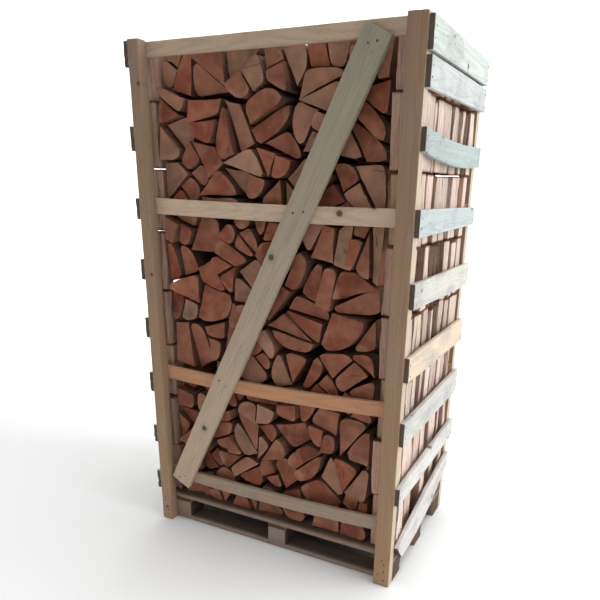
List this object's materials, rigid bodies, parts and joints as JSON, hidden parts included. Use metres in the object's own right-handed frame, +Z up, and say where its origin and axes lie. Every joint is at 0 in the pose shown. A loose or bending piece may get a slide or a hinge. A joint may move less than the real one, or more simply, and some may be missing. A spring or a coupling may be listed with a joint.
{
  "type": "crate of firewood",
  "caption": "Tall slatted timber crate on a pallet, packed with split firewood whose sawn ends show at the front and back.",
  "frame": {"origin": "on the ground, under the middle of the crate", "axes": "+Z up along the posts, +X to the right and -Y out of the front with the pictured brace"},
  "size_m": [1.24, 0.8, 2.1],
  "materials": {
    "post": "rough sawn",
    "rail": "sawn",
    "brace": "sawn",
    "slat": "rough sawn, silvered",
    "pallet": "rough sawn, worn",
    "firewood": "split and sawn"
  },
  "bodies": {
    "root": {"post_front_left": "post", "post_front_right": "post", "post_back_left": "post", "post_back_right": "post", "front_rail_1": "rail", "front_rail_2": "rail", "front_rail_3": "rail", "front_rail_4": "rail", "front_brace": "brace", "back_rail_1": "rail", "back_rail_2": "rail", "back_rail_3": "rail", "back_rail_4": "rail", "back_brace": "brace", "right_slat_1": "slat", "right_slat_2": "slat", "right_slat_3": "slat", "right_slat_4": "slat", "right_slat_5": "slat", "right_slat_6": "slat", "right_slat_7": "slat", "right_slat_8": "slat", "right_slat_9": "slat", "left_slat_1": "slat", "left_slat_2": "slat", "left_slat_3": "slat", "left_slat_4": "slat", "left_slat_5": "slat", "left_slat_6": "slat", "left_slat_7": "slat", "left_slat_8": "slat", "pallet_deck_board_1": "pallet", "pallet_deck_board_2": "pallet", "pallet_deck_board_3": "pallet", "pallet_deck_board_4": "pallet", "pallet_deck_board_5": "pallet", "pallet_stringer_1": "pallet", "pallet_runner_1": "pallet", "pallet_stringer_2": "pallet", "pallet_runner_2": "pallet", "pallet_stringer_3": "pallet", "pallet_runner_3": "pallet", "pallet_block_1": "pallet", "pallet_block_2": "pallet", "pallet_block_3": "pallet", "pallet_block_4": "pallet", "pallet_block_5": "pallet", "pallet_block_6": "pallet", "pallet_block_7": "pallet", "pallet_block_8": "pallet", "pallet_block_9": "pallet", "logs_lying_front": "firewood", "logs_lying_back": "firewood", "logs_standing_left": "firewood", "logs_standing_right": "firewood"}
  },
  "joints": []
}
